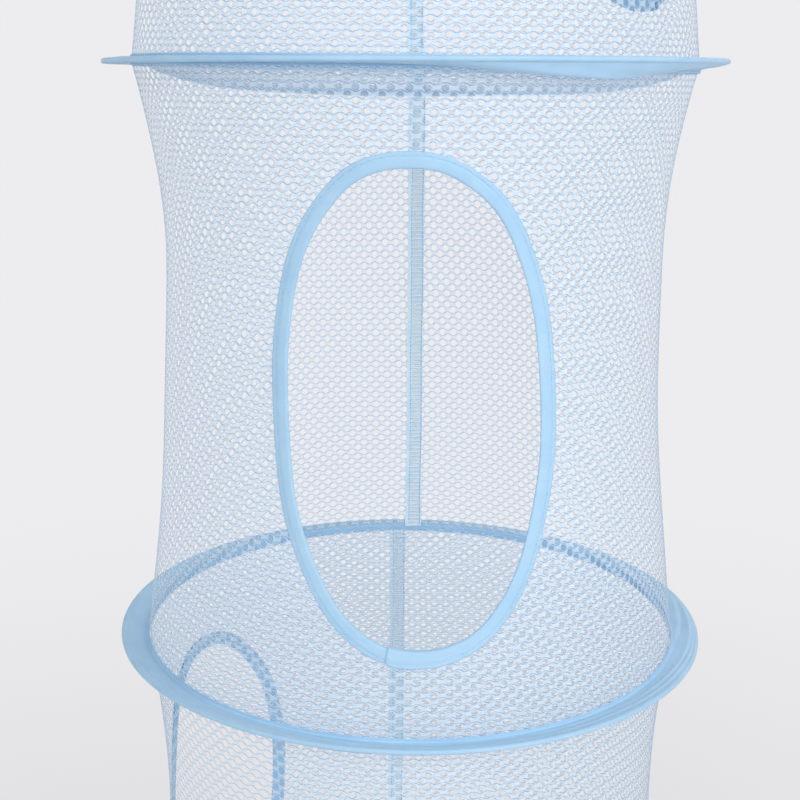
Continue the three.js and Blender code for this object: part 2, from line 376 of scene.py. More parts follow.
TAPE = woven("tape", TAPE_LIGHT, TAPE_DARK, 0.00035, 0.00008, 0.25)
WEBBING = woven("webbing", TAPE_LIGHT, TAPE_DARK, 0.0011, 0.0004, 0.3)
NET = net_material()
SEAM = woven("seam", SEAM_LIGHT, SEAM_DARK, 0.0008, 0.0002, 0.2)
STITCH = thread_material("stitch", TAPE_LIGHT, TAPE_DARK)
RUNG = thread_material("rung", PALE_THREAD, SOFT_THREAD)
CHAIN = thread_material("chain", CHAIN_LIGHT, CHAIN_DARK)
RING_STEEL = steel_material("ring_steel", STEEL_TONE, 0.16)
HOOP_STEEL = steel_material("hoop_steel", STEEL_TONE, 0.3)


# Meshes

def make_piece(name, points, quads, steps, materials, material_index=None, attributes=None):
    """A mesh of four-sided faces. steps holds each face corner's place on the unrolled piece, for its map."""
    mesh = bpy.data.meshes.new(name)
    mesh.vertices.add(len(points))
    mesh.vertices.foreach_set("co", np.asarray(points, np.float32).ravel())
    mesh.loops.add(quads.size)
    mesh.loops.foreach_set("vertex_index", quads.astype(np.int32).ravel())
    mesh.polygons.add(len(quads))
    mesh.polygons.foreach_set("loop_start", np.arange(0, quads.size, 4, dtype=np.int32))
    mesh.polygons.foreach_set("use_smooth", np.ones(len(quads), bool))
    if material_index is not None:
        mesh.polygons.foreach_set("material_index", material_index.astype(np.int32))
    for kind, values in (attributes or {}).items():
        wide = values.ndim == 2
        layer = mesh.attributes.new(kind, "FLOAT_VECTOR" if wide else "FLOAT", "POINT")
        layer.data.foreach_set("vector" if wide else "value", np.asarray(values, np.float32).ravel())
    low, high = steps.reshape(-1, 2).min(0), steps.reshape(-1, 2).max(0)
    unrolled = 0.01 + 0.98 * (steps - low) / np.maximum(high - low, 1e-9)
    layer = mesh.uv_layers.new(name="OFBake")
    layer.data.foreach_set("uv", np.asarray(unrolled, np.float32).ravel())
    mesh.validate()
    mesh.update()
    for material in materials:
        mesh.materials.append(material)
    piece = bpy.data.objects.new(name, mesh)
    bpy.context.scene.collection.objects.link(piece)
    return piece


def grid_faces(rows, columns, wrap_rows=False, wrap_columns=False):
    """Faces of a grid of points, as corner indices and as unrolled (row, column) steps."""
    row, column = np.meshgrid(
        np.arange(rows if wrap_rows else rows - 1),
        np.arange(columns if wrap_columns else columns - 1),
        indexing="ij",
    )
    near = np.stack([row.ravel(), column.ravel()], 1)
    steps = np.stack([near, near + (1, 0), near + (1, 1), near + (0, 1)], 1)
    quads = steps[..., 0] % rows * columns + steps[..., 1] % columns
    return quads, steps.astype(float)


class Parts:
    """Gathers grids and stitches into the faces of one piece."""

    def __init__(self):
        self.points, self.quads, self.steps, self.index, self.cloth = [], [], [], [], []
        self.count = 0
        self.shelf = 0.0

    def add(self, points, quads, steps, material=0, cloth=None):
        points = np.asarray(points, float).reshape(-1, 3)
        self.points.append(points)
        self.quads.append(quads + self.count)
        low, high = steps.reshape(-1, 2).min(0), steps.reshape(-1, 2).max(0)
        placed = (steps - low) / np.maximum(high - low, 1e-9)
        placed = placed + (0, self.shelf)
        self.shelf += 1.05
        self.steps.append(placed)
        self.index.append(np.full(len(quads), material))
        self.cloth.append(points if cloth is None else cloth)
        self.count += len(points)

    def make(self, name, materials):
        return make_piece(
            name,
            np.concatenate(self.points),
            np.concatenate(self.quads),
            np.concatenate(self.steps),
            materials,
            np.concatenate(self.index),
            {"cloth": np.concatenate(self.cloth)},
        )


def round_axis(angle, radius, height):
    """Points at an angle about the axis from the front, a radius and a height."""
    return np.stack([radius * np.sin(angle), -radius * np.cos(angle), height + 0 * angle], -1)


def turned(points, degrees):
    """Points turned about the axis by a tier's turn."""
    angle = math.radians(degrees)
    turn = np.array([
        [math.cos(angle), -math.sin(angle), 0],
        [math.sin(angle), math.cos(angle), 0],
        [0, 0, 1],
    ])
    return points @ turn.T


def unit(vectors):
    return vectors / np.linalg.norm(vectors, axis=-1, keepdims=True)


def cloth_places(points, along, across):
    """Metres along and across the cloth for each point of a grid."""
    cloth = np.zeros(points.shape)
    cloth[..., 0] = along
    cloth[..., 1] = across
    return cloth.reshape(-1, 3)


def add_stitches(parts, starts, ends, outward, material, thread=None):
    """Short lengths of thread between starts and ends, half sunk into the cloth."""
    thread = thread or THREAD
    across = unit(np.cross(outward, unit(ends - starts)))
    stations = ((0.0, 0.35), (0.2, 1.0), (0.8, 1.0), (1.0, 0.35))
    sides = ((1, 0), (0, 1), (-1, 0), (0, -1))
    rings = []
    for share, size in stations:
        middle = starts + (ends - starts) * share
        for side, out in sides:
            rings.append(middle + thread / 2 * size * (across * side + outward * (out * 0.8)))
    points = np.stack(rings, 1)
    quads, steps = grid_faces(len(stations), len(sides), wrap_columns=True)
    caps = np.array([[3, 2, 1, 0], [12, 13, 14, 15]])
    cap_steps = np.zeros((2, 4, 2)) + ((0, 0), (0, 0.1), (0.1, 0.1), (0.1, 0))
    one = np.concatenate([quads, caps])
    one_steps = np.concatenate([steps, cap_steps])
    count = len(points)
    shift = np.arange(count)[:, None, None]
    places = np.stack([shift // 40 * 5.0, shift % 40 * 5.0], -1)
    parts.add(
        points.reshape(-1, 3),
        (one[None] + shift * len(rings)).reshape(-1, 4),
        (one_steps[None] + places).reshape(-1, 4, 2),
        material,
    )


# Shapes shared by the tiers

WALL_INSET = 0.0032


def wall_radius(tier, drop):
    """Radius of a waisted wall at a drop below its upper hoop."""
    reach = np.where(drop < WAIST_DROP, WAIST_DROP - WALL_INSET, TIER_PITCH - WALL_INSET - WAIST_DROP)
    share = np.minimum(np.abs(drop - WAIST_DROP) / reach, 1)
    return WALL_RADIUS - WAIST_DEPTHS[tier] * (1 - share ** WAIST_POWER)


# How each hoop hangs off level, and how the sewn edge of its sleeve stands off the hoop:
# a mean rise, and what is added at the front and at the right
HOOP_TILTS = {
    "top": (0.0, 0.0003, -0.0004),
    "second": (0.0, 0.0003, 0.001),
    "third": (0.0003, -0.0051, -0.0008),
    "bottom": (0.0, 0.0008, 0.0006),
}
SEAM_LIFTS = {
    "top": (0.0, 0.0002, -0.0001),
    "second": (-0.0014, 0.0006, -0.002),
    "third": (-0.001, -0.0014, 0.0004),
    "bottom": (0.0, -0.0004, 0.0003),
}

# Where leaves hang slack between the hoop and the net: angle, width, and depth of the upper and lower leaf
SLACK_LEAVES = {
    "second": (0.55, 0.42, 0.0, 0.0056),
    "third": (0.1, 0.5, 0.0016, 0.0016),
}


def waved(rises, angle):
    """Rise at an angle, from a mean and what is added at the front and at the right."""
    mean, front, right = rises
    return mean + front * np.cos(angle) + right * np.sin(angle)


def hoop_height(ring, angle):
    return RING_Z[ring] + waved(HOOP_TILTS[ring], angle)


def seam_rise(ring, angle):
    """Rise of the sewn edge above the middle of the hoop's height."""
    return waved(HOOP_TILTS[ring], angle) + waved(SEAM_LIFTS[ring], angle)


# Nets

# Ten points round a cell, in quarters of a column and tenths of a row, and the matching points of its hole.
# Its upright sides are the strands between holes, and its slanted sides lie along wavy lines of thread.
CELL_BORDER = np.array([
    (2, -3), (1, -5), (0, -7), (-1, -5), (-2, -3), (-2, 3), (-1, 5), (0, 7), (1, 5), (2, 3),
])
CELL_SCALE = np.array([4, 10])
HOLE_TURNS = np.radians([-18, -56, -90, -124, -162, 162, 124, 90, 56, 18])
UPRIGHT_SIDES = (4, 9)


def net_cells(centres, columns=None, hole=1.0):
    """A staggered mesh round the given cell centres, in (column, row) places.

    Returns the lattice places of its points, which of them lie on holes, the faces, their unrolled corners
    and the share of painted shade at each face corner, for the grooves between threads. Cells share the
    points on their borders, and columns closes the mesh into a tube.
    """
    border = np.round(centres * CELL_SCALE).astype(int)[:, None] + CELL_BORDER
    keys = border.copy()
    if columns:
        keys[..., 0] %= CELL_SCALE[0] * columns
    shared, index = np.unique(keys.reshape(-1, 2), axis=0, return_inverse=True)
    index = index.reshape(len(centres), -1)
    sides = len(CELL_BORDER)
    rim_shape = np.stack([np.cos(HOLE_TURNS) * HOLE_WIDTH / 2, np.sin(HOLE_TURNS) * HOLE_HEIGHT], 1)
    rim = centres[:, None] + rim_shape * hole
    rim_index = len(shared) + np.arange(len(centres) * sides).reshape(-1, sides)
    points = np.concatenate([shared / CELL_SCALE, rim.reshape(-1, 2)])
    on_rim = np.arange(len(points)) >= len(shared)
    k = np.arange(sides)
    after = (k + 1) % sides
    quads = np.stack([index[:, k], index[:, after], rim_index[:, after], rim_index[:, k]], -1)
    edge = border / CELL_SCALE
    unrolled = np.stack([edge[:, k], edge[:, after], rim[:, after], rim[:, k]], 2)
    # Painted shade: full at each cell's border, where threads meet in grooves, a quarter along the upright
    # strands, and none at the hole's rim.
    line = np.zeros((len(centres), sides, 4))
    line[:, :, :2] = 1
    line[:, UPRIGHT_SIDES, :2] = 0.25
    return points, on_rim, quads.reshape(-1, 4), unrolled.reshape(-1, 4, 2), line.reshape(-1, 4)


def row_drops(tier):
    """Rows of a wall's mesh against shares of its height. Rows lie closer where the net is stretched."""
    drops = np.linspace(0, 1, 400)
    pull = ((WALL_RADIUS - wall_radius(tier, drops * TIER_PITCH)) / WAIST_DEPTHS["middle_tier"]).clip(0, 1)
    density = 1 / (1 + WAIST_ROW_GAIN * pull)
    rows = np.concatenate([[0], np.cumsum((density[1:] + density[:-1]) / 2)])
    return rows / rows[-1], drops


def wall_place(tier, places):
    """Angle from the tier's front, and drop, of lattice places on a wall."""
    upper, lower = rings_of(tier)
    turn = math.radians(TIER_TURNS[tier])
    angle = places[:, 0] / NET_COLUMNS * 2 * math.pi
    rows, drops = row_drops(tier)
    share = np.interp(places[:, 1] / NET_ROWS, rows, drops)
    middle = np.sin(math.pi * share.clip(0, 1))
    phase = TIERS.index(tier) * 1.7
    slow, quick = COLUMN_SWAY
    angle = angle + slow * np.sin(2 * angle + 4.3 * share + phase) + quick * np.sin(5 * angle - 6 * share)
    slow, quick = ROW_SWAY
    share = share + middle * (slow * np.sin(2 * angle + phase) + quick * np.sin(5 * angle + 7 * share))
    top = NET_TUCK - seam_rise(upper, angle + turn)
    bottom = TIER_PITCH - NET_TUCK - seam_rise(lower, angle + turn)
    return angle, top + share * (bottom - top)


def inside_opening(tier, angle, drop, grow):
    """Whether places on a wall lie in its opening, grown by a length all round."""
    x = np.where(np.cos(angle) > 0, wall_radius(tier, drop) * np.sin(angle), 1)
    x = x - OPENING_ASIDE - OPENING_LEAN * (drop - OPENING_DROP)
    across = np.abs(x) / (OPENING_WIDTH / 2 + grow)
    along = np.abs(drop - OPENING_DROP) / (OPENING_HEIGHT / 2 + grow)
    return across ** OPENING_POWER + along ** OPENING_POWER < 1


def net_piece(name, points, quads, steps, line):
    """A piece of net. line holds the share of painted shade at each face corner, for the grooves between
    threads.
    """
    piece = make_piece(name, points, quads[:, ::-1], steps[:, ::-1], [NET])
    # The painted shade of the grooves goes on the face corners as the line attribute.
    layer = piece.data.attributes.new("line", "FLOAT", "CORNER")
    layer.data.foreach_set("value", line[:, ::-1].astype(np.float32).ravel())
    return piece


def net_wall(tier):
    """A waisted tube of net, cut out for the opening and drawn in where it is sewn to the sleeves."""
    row, column = np.meshgrid(np.arange(NET_ROWS + 1), np.arange(NET_COLUMNS), indexing="ij")
    centres = np.stack([column.ravel() + 0.5 * (row.ravel() % 2), row.ravel()], 1).astype(float)
    angle, drop = wall_place(tier, centres)
    centres = centres[~inside_opening(tier, angle, drop, NET_EDGE_COVER)]
    places, on_rim, quads, steps, line = net_cells(centres, NET_COLUMNS)
    angle, drop = wall_place(tier, places)
    slack = WALL_SLACK * np.sin(3 * angle + 11 * drop / TIER_PITCH) * np.sin(math.pi * drop / TIER_PITCH)
    to_end = np.minimum(drop, TIER_PITCH - drop) / NET_DRAW_LENGTH
    radius = wall_radius(tier, drop) + RIM_RELIEF * on_rim + slack - NET_DRAW * np.exp(-to_end ** 2)
    ring, _ = rings_of(tier)
    points = turned(round_axis(angle, radius, RING_Z[ring] - drop), TIER_TURNS[tier])
    return net_piece(tier + "_net_wall", points, quads, steps, line)


def floor_drop(radius):
    share = np.minimum(radius / SLEEVE_INNER, 1)
    return FLOOR_SAG * (1 - share ** FLOOR_SAG_POWER)


def net_floor(tier):
    """A disc of net sewn in at the lower hoop, sagging like a shallow pan."""
    _, ring = rings_of(tier)
    reach = SLEEVE_INNER - FLOOR_EDGE_GAP
    rows, columns = int(reach / FLOOR_ROW_PITCH), int(reach / FLOOR_PITCH) + 1
    row, column = np.meshgrid(np.arange(-rows, rows + 1), np.arange(-columns, columns + 1), indexing="ij")
    centres = np.stack([column.ravel() + 0.5 * (row.ravel() % 2), row.ravel()], 1).astype(float)
    pitch = np.array([FLOOR_PITCH, FLOOR_ROW_PITCH])
    centres = centres[np.hypot(*(centres * pitch).T) < reach]
    places, on_rim, quads, steps, line = net_cells(centres)
    x, y = (places * pitch).T
    x = x + FLOOR_SWAY[0] * np.sin(22 * y + 1.1) * np.cos(14 * x)
    y = y + FLOOR_SWAY[1] * np.sin(27 * x + 0.4)
    radius = np.hypot(x, y)
    pull = (radius / SLEEVE_INNER) ** 3
    height = RING_Z[ring] - floor_drop(radius) + pull * seam_rise(ring, np.arctan2(x, -y))
    slack = FLOOR_SLACK * np.sin(31 * x + 2) * np.sin(26 * y) * (1 - pull.clip(0, 1))
    height = height + slack - RIM_RELIEF * on_rim
    points = np.stack([x, y, height], 1)
    return net_piece(tier + "_net_floor", points, quads, steps, line)


def back_seam(tier):
    """The wall's lapped joint: a doubled strip with two chains of stitches and thread rungs between them."""
    upper, lower = rings_of(tier)
    top = NET_TUCK - seam_rise(upper, math.pi)
    bottom = TIER_PITCH - NET_TUCK - seam_rise(lower, math.pi)

    def on_seam(across, drop, lift):
        depth = wall_radius(tier, drop) - SEAM_STANDOFF - lift
        aside = across + SEAM_SHIFTS[tier]
        return np.stack([-aside, np.sqrt(depth ** 2 - aside ** 2), RING_Z[upper] - drop], -1)

    rows = int((bottom - top) / SEAM_ROW_PITCH)
    drop = np.linspace(top, bottom, rows)[:, None]
    share = np.linspace(-1, 1, 9)
    slow, quick = SEAM_WAVER
    width = SEAM_WIDTH / 2 * (1 + slow * np.sin(drop * 210) + quick * np.sin(drop * 530 + 1))
    across = share * width
    puff = SEAM_PUFF * (1 - share ** 4) * (1 + 0.4 * np.sin(drop * 2 * math.pi / RUNG_PITCH))
    points = on_seam(across, drop + 0 * across, puff)
    quads, steps = grid_faces(rows, len(share))
    parts = Parts()
    parts.add(points, quads, steps, 0, cloth_places(points, across, drop))
    inward = np.array([0.0, -1.0, 0.0])
    for line in SEAM_STITCH_LINES:
        start = np.arange(top, bottom - RUNG_PITCH, RUNG_PITCH)
        wander = line + 0.0002 * np.sin(start * 70 + line * 900)
        first = on_seam(wander, start, SEAM_PUFF)
        last = on_seam(wander, start + RUNG_PITCH * 0.72, SEAM_PUFF)
        add_stitches(parts, first, last, np.tile(inward, (len(start), 1)), 1)
    left, right = SEAM_STITCH_LINES
    start = np.arange(top, bottom - RUNG_PITCH, RUNG_PITCH) + RUNG_PITCH * 0.8
    first = on_seam(left + 0 * start, start, RUNG_LIFT)
    last = on_seam(right + 0 * start, start + RUNG_PITCH * 0.15, RUNG_LIFT)
    add_stitches(parts, first, last, np.tile(inward, (len(start), 1)), 2, RUNG_WIDTH)
    return parts.make(tier + "_seam_band", [SEAM, CHAIN, RUNG])


# Sleeves

# Long slanting creases where a sleeve's tape twists round its hoop: angle, slant, height and width
CREASES = {
    "top": ((0.9, -1.5, 0.0006, 0.3), (-2.2, -0.9, 0.0005, 0.2), (2.7, 1.2, 0.0004, 0.25)),
    "second": ((0.75, -1.6, 0.0006, 0.3), (-1.1, 1.4, 0.0005, 0.3), (2.5, 0.9, 0.0005, 0.25)),
    "third": (
        (0.45, -2.2, 0.0006, 0.4), (1.05, -1.4, 0.0005, 0.25), (1.6, -0.5, 0.0004, 0.14),
        (-0.5, 1.8, 0.0005, 0.35), (-1.5, 0.8, 0.0003, 0.25),
        (-2.4, -0.8, 0.0003, 0.25), (2.3, 0.9, 0.0003, 0.25),
    ),
    "bottom": ((0.4, -1.5, 0.0006, 0.3), (-1.6, 0.9, 0.0005, 0.25), (2.0, 0.8, 0.0004, 0.25)),
}

COLLAR_RADIUS = WALL_RADIUS + COLLAR_GAP


def smooth(share):
    """An even share eased at both ends."""
    return share * share * (3 - 2 * share)


def leaf_half():
    """Half of a sleeve's section: radius, height off the hoop's plane and share of the way in.

    It runs from the outside of the bead along the leaf and up a collar round the net to its turned edge.
    """
    bend = np.linspace(0, math.pi / 2, 7)
    bead = np.stack([HOOP_RADIUS + BEAD_RADIUS * np.cos(bend), BEAD_RADIUS * np.sin(bend), 0 * bend], 1)
    share = np.linspace(0, 1, 25)[1:]
    foot = COLLAR_RADIUS + COLLAR_BEND
    height = BEAD_RADIUS + (LEAF_VALLEY - BEAD_RADIUS) * smooth(share)
    leaf = np.stack([HOOP_RADIUS + (foot - HOOP_RADIUS) * share, height, share], 1)
    bend = np.linspace(0, math.pi / 2, 6)[1:]
    rise = np.stack([
        foot - COLLAR_BEND * np.sin(bend),
        LEAF_VALLEY + COLLAR_BEND * (1 - np.cos(bend)),
        1 + 0 * bend,
    ], 1)
    turn = np.linspace(0, math.pi, 5)
    hem = np.stack([
        COLLAR_RADIUS - COLLAR_EDGE * (1 - np.cos(turn)),
        COLLAR_HEIGHT - COLLAR_EDGE + COLLAR_EDGE * np.sin(turn),
        1 + 0 * turn,
    ], 1)
    inner = [(COLLAR_RADIUS - 2 * COLLAR_EDGE, height, 1) for height in (COLLAR_TUCK, LEAF_SPLIT)]
    return np.concatenate([bead, leaf, rise, hem, inner])


def crease_height(ring, angle, share, side):
    """Height of the creases at an angle and share of a leaf, on its upper or lower side."""
    total = 0.0001 * np.sin(17 * angle + 3 * share + side) + 0.00008 * np.sin(31 * angle - 4 * share)
    for place, slant, height, width in CREASES[ring]:
        middle = place + slant * (share - 0.5) * (1 if side > 0 else -0.7)
        away = ((angle - middle + math.pi) % (2 * math.pi) - math.pi) / width
        total = total + height * np.tanh(4 * away) * np.exp(-away ** 2)
    return total * np.sin(math.pi * np.clip(share, 0, 1)) ** 0.6


def leaf_slack(ring, angle, share, side):
    """How far a slack leaf hangs down at an angle and share of its width, on its upper or lower side."""
    if ring not in SLACK_LEAVES:
        return 0
    place, width, upper, lower = SLACK_LEAVES[ring]
    depth = upper if side > 0 else lower
    return depth * np.exp(-((angle - place) / width) ** 2) * np.sin(math.pi * share.clip(0, 1))


def sleeve_surface(ring, angle, half, side):
    """Points of a sleeve's half section at angles round the axis, on its upper (1) or lower (-1) side."""
    radius, height, share = half.T
    around = (angle[:, None] + math.pi) % (2 * math.pi) - math.pi
    lift = waved(SEAM_LIFTS[ring], around) * share + crease_height(ring, around, share[None], side)
    lift = lift - leaf_slack(ring, around, share[None], side)
    return round_axis(around, radius + 0 * around, hoop_height(ring, around) + side * height + lift)


def sleeve(ring):
    """Tape folded round the hoop, with two leaves that reach in to the net and a row of stitches."""
    angle = np.linspace(0, 2 * math.pi, RING_STEPS, endpoint=False)
    half = leaf_half()
    upper = sleeve_surface(ring, angle, half, 1)
    lower = sleeve_surface(ring, angle, half, -1)
    points = np.concatenate([upper[:, ::-1], lower[:, 1:]], 1)
    quads, steps = grid_faces(RING_STEPS, points.shape[1], wrap_rows=True)
    along = np.concatenate([[0], np.cumsum(np.linalg.norm(np.diff(points[0], axis=0), axis=1))])
    parts = Parts()
    parts.add(points, quads, steps, 0, cloth_places(points, (angle * HOOP_RADIUS)[:, None], along))
    add_sleeve_stitches(parts, ring)
    return parts.make(ring + "_sleeve_tape", [TAPE, STITCH])


def add_sleeve_stitches(parts, ring):
    """A row of stitches through each collar."""
    count = int(2 * math.pi * COLLAR_RADIUS / STITCH_PITCH)
    start = np.arange(count) / count * 2 * math.pi
    section = np.array([(COLLAR_RADIUS, COLLAR_STITCH, 1)])
    outward = round_axis(start, 1.0, 0.0)
    for side in (1, -1):
        first = sleeve_surface(ring, start, section, side)[:, 0]
        last = sleeve_surface(ring, start + STITCH_LENGTH / COLLAR_RADIUS, section, side)[:, 0]
        add_stitches(parts, first, last, outward, 1)


def hoop(ring):
    angle = np.linspace(0, 2 * math.pi, RING_STEPS, endpoint=False)[:, None]
    bend = np.linspace(0, 2 * math.pi, HOOP_SIDES, endpoint=False)
    radius = HOOP_RADIUS + HOOP_WIRE / 2 * np.cos(bend)
    points = round_axis(angle, radius + 0 * angle, hoop_height(ring, angle) + HOOP_WIRE / 2 * np.sin(bend))
    quads, steps = grid_faces(RING_STEPS, HOOP_SIDES, True, True)
    parts = Parts()
    parts.add(points, quads, steps)
    return parts.make(ring + "_hoop_wire", [HOOP_STEEL])


# Bindings

# The lap of the tape's two ends, with its place and length in degrees round the oval
LAP_START = 100.7
LAP_LENGTH = 26
LAP_RISE = 0.0008
LAP_GROWTH = 0.0009
LAP_CORNER = 0.0022
LAP_CORNER_SHARE = 0.1


def binding_section():
    """Section of the folded tape: reach from the cut edge of the net, and height off its middle."""
    bend = np.linspace(-math.pi / 2, math.pi / 2, 7)
    fold = np.stack([BINDING_HALF * 0.9 * (1 - np.cos(bend)) - BINDING_FOLD, BINDING_HALF * np.sin(bend)], 1)
    share = np.linspace(0, 1, 12)[1:]
    reach = fold[-1, 0] + (BINDING_REACH - fold[-1, 0]) * share
    crown = BINDING_HALF * (1 + 0.12 * np.sin(math.pi * share) - 0.35 * share ** 6)
    from_stitches = (BINDING_REACH - reach - BINDING_STITCH_INSET) / BINDING_GROOVE_WIDTH
    crown = crown - BINDING_GROOVE * np.exp(-from_stitches ** 2)
    outside = np.stack([reach, crown], 1)
    edge = [(BINDING_REACH + 0.0001, 0.0004), (BINDING_REACH - 0.0004, 0.00008)]
    outer = np.concatenate([outside, edge])
    inner = outer[::-1] * (1, -1)
    return np.concatenate([inner, fold[1:-1], outer])


def oval(turn, reach):
    """Place beside the middle of the opening, and below it, at a turn round its blunt and leaning oval."""
    def blunt(value):
        return np.sign(value) * np.abs(value) ** (2 / OPENING_POWER)
    below = (OPENING_HEIGHT / 2 + reach) * blunt(np.sin(turn))
    beside = (OPENING_WIDTH / 2 + reach) * blunt(np.cos(turn)) + OPENING_ASIDE + OPENING_LEAN * below
    return beside, below


def on_opening(tier, turn, reach, height):
    """A point off the wall beside the opening, at a turn round the oval, anticlockwise from the right."""
    x, below = oval(turn, reach)
    drop = OPENING_DROP + below
    radius = wall_radius(tier, drop) + height
    ring, _ = rings_of(tier)
    points = np.stack([x, -np.sqrt(radius ** 2 - x ** 2), RING_Z[ring] - drop], -1)
    return turned(points, TIER_TURNS[tier])


def oval_lengths():
    """Turns round the oval in fine steps, and the length of its edge up to each."""
    fine = np.linspace(0, 2 * math.pi, 4001)
    x, y = oval(fine, 0.0)
    return fine, np.concatenate([[0], np.cumsum(np.hypot(np.diff(x), np.diff(y)))])


def even_turns(count):
    """Turns round the oval with equal steps along its edge."""
    fine, along = oval_lengths()
    return np.interp(np.arange(count) / count * along[-1], along, fine)


def binding(tier):
    """Folded tape round an opening, puckered by its stitches."""
    section = binding_section()
    turn = even_turns(BINDING_STEPS)[:, None]
    around = oval_lengths()[1][-1]
    reach, height = section.T
    outer = np.clip(reach / BINDING_REACH, 0, 1) ** 2
    pucker = BINDING_PUCKER * outer * np.sin(92 * turn) * (0.3 + np.sin(turn) ** 2)
    sway = BINDING_SWAY[0] * np.sin(7 * turn + 1) + BINDING_SWAY[1] * np.sin(12 * turn)
    points = on_opening(tier, turn, reach + sway, height + pucker)
    quads, steps = grid_faces(BINDING_STEPS, len(section), wrap_rows=True)
    width = np.concatenate([[0], np.cumsum(np.hypot(*np.diff(section, axis=0).T))])
    parts = Parts()
    parts.add(points, quads, steps, 0, cloth_places(points, turn / (2 * math.pi) * around, width))
    add_lap(parts, tier, section)
    add_binding_stitches(parts, tier, around)
    return parts.make(tier + "_binding_tape", [TAPE, STITCH])


def add_lap(parts, tier, section):
    """The end of the tape, lapped over its start low on the oval, with a rounded corner."""
    corner_steps = np.linspace(0, LAP_CORNER_SHARE, 8)
    share = np.concatenate([corner_steps, np.linspace(LAP_CORNER_SHARE, 1, 20)[1:]])[:, None]
    turn = np.radians(LAP_START - LAP_LENGTH * share)
    rise = LAP_RISE * (1 - share ** 2)
    corner = LAP_CORNER * (1 - np.sqrt(1 - (1 - np.minimum(share / LAP_CORNER_SHARE, 1)) ** 2))
    reach, height = section.T
    outside = reach + reach / BINDING_REACH * (LAP_GROWTH * (1 - share) - corner)
    grown = np.where(reach > 0, outside, reach - rise / 2)
    points = on_opening(tier, turn, grown, height + np.sign(height) * rise)
    quads, steps = grid_faces(len(turn), len(section))
    parts.add(points, quads, steps, 0, cloth_places(points, turn * OPENING_WIDTH / 2, reach))
    rim = np.stack([points[0], on_opening(tier, turn[0] + 0 * reach, reach, height * 0.7)])
    quads, steps = grid_faces(2, len(section))
    parts.add(rim, quads, steps)


def add_binding_stitches(parts, tier, around):
    """A row of stitches through both leaves of the tape, seen on each side."""
    count = int(around / STITCH_PITCH)
    start = even_turns(count)
    end = start + STITCH_LENGTH / STITCH_PITCH * np.diff(np.append(start, 2 * math.pi + start[0]))
    line = BINDING_REACH - BINDING_STITCH_INSET
    for side in (1, -1):
        height = side * (BINDING_HALF * 0.82)
        first = on_opening(tier, start, line, height)
        last = on_opening(tier, end, line, height)
        add_stitches(parts, first, last, unit(first * (side, side, 0)), 1)


# Hanger

def rounded_line(corners, radius, steps=6):
    """An open line through corner points, with each corner rounded off."""
    corners = np.asarray(corners, float)
    line = [corners[0]]
    for before, corner, after in zip(corners[:-2], corners[1:-1], corners[2:]):
        back, onward = before - corner, after - corner
        cut = min(radius, np.linalg.norm(back) / 2.2, np.linalg.norm(onward) / 2.2)
        first = corner + unit(back) * cut
        last = corner + unit(onward) * cut
        for share in np.linspace(0, 1, steps):
            line.append((1 - share) ** 2 * first + 2 * share * (1 - share) * corner + share ** 2 * last)
    line.append(corners[-1])
    return np.array(line)


def evenly(line, step):
    """Points in equal steps along a line, and the length of the line up to each."""
    along = np.concatenate([[0], np.cumsum(np.linalg.norm(np.diff(line, axis=0), axis=1))])
    count = max(2, int(along[-1] / step) + 1)
    at = np.linspace(0, along[-1], count)
    return np.stack([np.interp(at, along, column) for column in line.T], 1), at


def webbing_section():
    """Section of a flat webbing: width and thickness, with rounded edges and a slight crown."""
    across = np.linspace(-1, 1, 13)
    half = STRAP_CLOTH / 2 * np.sqrt(1 - np.abs(across) ** 8 * 0.85)
    top = np.stack([across * STRAP_WIDTH / 2, half], 1)
    return np.concatenate([top, top[::-1] * (1, -1)])


def webbing(parts, line, to_frame):
    """A strap along a line in an upright plane. to_frame puts (along, height, across) points in the frame."""
    line, at = evenly(rounded_line(line, WEBBING_BEND), WEBBING_STEP)
    ahead = unit(np.gradient(line, axis=0))
    normal = np.stack([-ahead[:, 1], ahead[:, 0]], 1)
    section = webbing_section()
    place = line[:, None] + normal[:, None] * section[None, :, 1:]
    points = to_frame(place[..., 0], place[..., 1], section[None, :, 0] + 0 * place[..., 0])
    quads, steps = grid_faces(len(line), len(section), wrap_columns=True)
    half = len(section) // 2
    j = np.arange(half - 1)
    cap = np.stack([j, j + 1, 2 * half - 2 - j, 2 * half - 1 - j], 1)
    last = (len(line) - 1) * len(section)
    quads = np.concatenate([quads, cap[:, ::-1], cap + last])
    steps = np.concatenate([steps, end_steps(cap, -3.0), end_steps(cap, len(line) + 2.0)])
    parts.add(points, quads, steps, 0, cloth_places(points, at[:, None], section[:, 0]))


def end_steps(cap, row):
    """Unrolled places for a strap's end faces, in a row of their own."""
    place = np.arange(len(cap))[:, None]
    rows = row + np.array([0, 0, 1, 1]) + 0 * place
    columns = place + np.array([0, 1, 1, 0])
    return np.stack([rows, columns], -1).astype(float)


def box_stitch(parts, place, along, across, outward):
    """A sewn square with a cross, given its middle and its half sides."""
    corners = [place + along * a + across * b for a, b in ((-1, -1), (1, -1), (1, 1), (-1, 1))]
    runs = [(corners[i], corners[(i + 1) % 4]) for i in range(4)]
    runs += [(corners[0], corners[2]), (corners[1], corners[3])]
    for first, last in runs:
        count = max(2, int(np.linalg.norm(last - first) / STITCH_PITCH))
        share = np.arange(count)[:, None] / count
        ends = share + STITCH_LENGTH / STITCH_PITCH / count
        start = first + (last - first) * share
        stop = first + (last - first) * ends
        add_stitches(parts, start, stop, np.tile(outward, (count, 1)), 1)


TAB_TOP = -DRING_HEIGHT - DRING_WIRE / 2
STRAP_TOP = TAB_TOP - TAB_RISE - SEAT_GAP


def in_side_plane(along, height, across):
    """Points of a strap that runs from left to right."""
    return np.stack([along, -across, height], -1)


def in_front_plane(along, height, across):
    """Points of a strap that runs from front to back."""
    return np.stack([across, along, height], -1)


